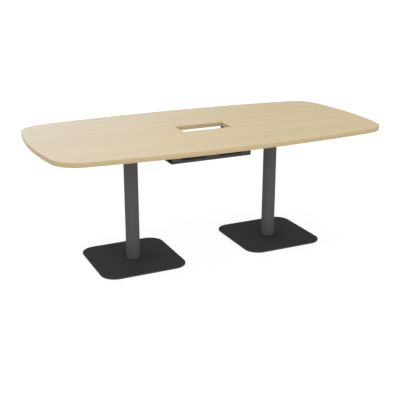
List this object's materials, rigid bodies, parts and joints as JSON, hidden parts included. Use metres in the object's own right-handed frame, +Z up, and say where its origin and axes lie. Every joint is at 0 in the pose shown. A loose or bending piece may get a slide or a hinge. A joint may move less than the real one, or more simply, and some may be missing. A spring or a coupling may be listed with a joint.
{
  "type": "meeting table",
  "caption": "Barrel-shaped meeting table with a cable cut-out and a slotted cable tray below it, on round columns with square floor plates and levelling feet.",
  "frame": {"origin": "on the floor, under the middle of the top", "axes": "+X along the table's length, +Y across the table, +Z up"},
  "size_m": [2, 1, 0.74],
  "materials": {
    "maple_board": "satin melamine",
    "maple_edge": "satin",
    "graphite_paint": "satin powder coat",
    "raw_steel": "machined",
    "zinc_plate": "zinc plated",
    "brass_insert": "machined",
    "black_nylon": "matte"
  },
  "bodies": {
    "table": {"top_panel": "maple_board", "outer_edge_band": "maple_edge", "cutout_edge_band": "maple_edge", "cable_tray": "graphite_paint", "tray_screws": "zinc_plate", "left_base_plate": "graphite_paint", "left_column_tube": "graphite_paint", "left_column_foot_plug": "raw_steel", "left_column_head_plug": "raw_steel", "left_top_spider": "graphite_paint", "left_base_screws": "zinc_plate", "left_head_screws": "zinc_plate", "left_top_screws": "zinc_plate", "left_top_inserts": "brass_insert", "right_base_plate": "graphite_paint", "right_column_tube": "graphite_paint", "right_column_foot_plug": "raw_steel", "right_column_head_plug": "raw_steel", "right_top_spider": "graphite_paint", "right_base_screws": "zinc_plate", "right_head_screws": "zinc_plate", "right_top_screws": "zinc_plate", "right_top_inserts": "brass_insert"},
    "left_foot_1": {"left_glide_pad_1": "black_nylon"},
    "left_foot_stud_1": {"left_glide_stud_1": "zinc_plate"},
    "left_foot_2": {"left_glide_pad_2": "black_nylon"},
    "left_foot_stud_2": {"left_glide_stud_2": "zinc_plate"},
    "left_foot_3": {"left_glide_pad_3": "black_nylon"},
    "left_foot_stud_3": {"left_glide_stud_3": "zinc_plate"},
    "left_foot_4": {"left_glide_pad_4": "black_nylon"},
    "left_foot_stud_4": {"left_glide_stud_4": "zinc_plate"},
    "right_foot_1": {"right_glide_pad_1": "black_nylon"},
    "right_foot_stud_1": {"right_glide_stud_1": "zinc_plate"},
    "right_foot_2": {"right_glide_pad_2": "black_nylon"},
    "right_foot_stud_2": {"right_glide_stud_2": "zinc_plate"},
    "right_foot_3": {"right_glide_pad_3": "black_nylon"},
    "right_foot_stud_3": {"right_glide_stud_3": "zinc_plate"},
    "right_foot_4": {"right_glide_pad_4": "black_nylon"},
    "right_foot_stud_4": {"right_glide_stud_4": "zinc_plate"}
  },
  "joints": [
    {"name": "left_foot_1_travel", "type": "slide", "parent": "table", "child": "left_foot_1", "axis": [0, 0, -1], "range_m": [0, 0.004]},
    {"name": "left_foot_stud_1_turn", "type": "hinge", "parent": "left_foot_1", "child": "left_foot_stud_1", "pos_m": [-0.637, -0.19, 0.0015], "axis": [0, 0, -1], "range_deg": [0, 1152]},
    {"name": "left_foot_2_travel", "type": "slide", "parent": "table", "child": "left_foot_2", "axis": [0, 0, -1], "range_m": [0, 0.004]},
    {"name": "left_foot_stud_2_turn", "type": "hinge", "parent": "left_foot_2", "child": "left_foot_stud_2", "pos_m": [-0.257, -0.19, 0.0015], "axis": [0, 0, -1], "range_deg": [0, 1152]},
    {"name": "left_foot_3_travel", "type": "slide", "parent": "table", "child": "left_foot_3", "axis": [0, 0, -1], "range_m": [0, 0.004]},
    {"name": "left_foot_stud_3_turn", "type": "hinge", "parent": "left_foot_3", "child": "left_foot_stud_3", "pos_m": [-0.257, 0.19, 0.0015], "axis": [0, 0, -1], "range_deg": [0, 1152]},
    {"name": "left_foot_4_travel", "type": "slide", "parent": "table", "child": "left_foot_4", "axis": [0, 0, -1], "range_m": [0, 0.004]},
    {"name": "left_foot_stud_4_turn", "type": "hinge", "parent": "left_foot_4", "child": "left_foot_stud_4", "pos_m": [-0.637, 0.19, 0.0015], "axis": [0, 0, -1], "range_deg": [0, 1152]},
    {"name": "right_foot_1_travel", "type": "slide", "parent": "table", "child": "right_foot_1", "axis": [0, 0, -1], "range_m": [0, 0.004]},
    {"name": "right_foot_stud_1_turn", "type": "hinge", "parent": "right_foot_1", "child": "right_foot_stud_1", "pos_m": [0.257, -0.19, 0.0015], "axis": [0, 0, -1], "range_deg": [0, 1152]},
    {"name": "right_foot_2_travel", "type": "slide", "parent": "table", "child": "right_foot_2", "axis": [0, 0, -1], "range_m": [0, 0.004]},
    {"name": "right_foot_stud_2_turn", "type": "hinge", "parent": "right_foot_2", "child": "right_foot_stud_2", "pos_m": [0.637, -0.19, 0.0015], "axis": [0, 0, -1], "range_deg": [0, 1152]},
    {"name": "right_foot_3_travel", "type": "slide", "parent": "table", "child": "right_foot_3", "axis": [0, 0, -1], "range_m": [0, 0.004]},
    {"name": "right_foot_stud_3_turn", "type": "hinge", "parent": "right_foot_3", "child": "right_foot_stud_3", "pos_m": [0.637, 0.19, 0.0015], "axis": [0, 0, -1], "range_deg": [0, 1152]},
    {"name": "right_foot_4_travel", "type": "slide", "parent": "table", "child": "right_foot_4", "axis": [0, 0, -1], "range_m": [0, 0.004]},
    {"name": "right_foot_stud_4_turn", "type": "hinge", "parent": "right_foot_4", "child": "right_foot_stud_4", "pos_m": [0.257, 0.19, 0.0015], "axis": [0, 0, -1], "range_deg": [0, 1152]}
  ],
  "couplings": [
    {"joint": "left_foot_stud_1_turn", "follows": "left_foot_1_travel", "rad_per_m": 5026.5},
    {"joint": "left_foot_stud_2_turn", "follows": "left_foot_2_travel", "rad_per_m": 5026.5},
    {"joint": "left_foot_stud_3_turn", "follows": "left_foot_3_travel", "rad_per_m": 5026.5},
    {"joint": "left_foot_stud_4_turn", "follows": "left_foot_4_travel", "rad_per_m": 5026.5},
    {"joint": "right_foot_stud_1_turn", "follows": "right_foot_1_travel", "rad_per_m": 5026.5},
    {"joint": "right_foot_stud_2_turn", "follows": "right_foot_2_travel", "rad_per_m": 5026.5},
    {"joint": "right_foot_stud_3_turn", "follows": "right_foot_3_travel", "rad_per_m": 5026.5},
    {"joint": "right_foot_stud_4_turn", "follows": "right_foot_4_travel", "rad_per_m": 5026.5}
  ]
}
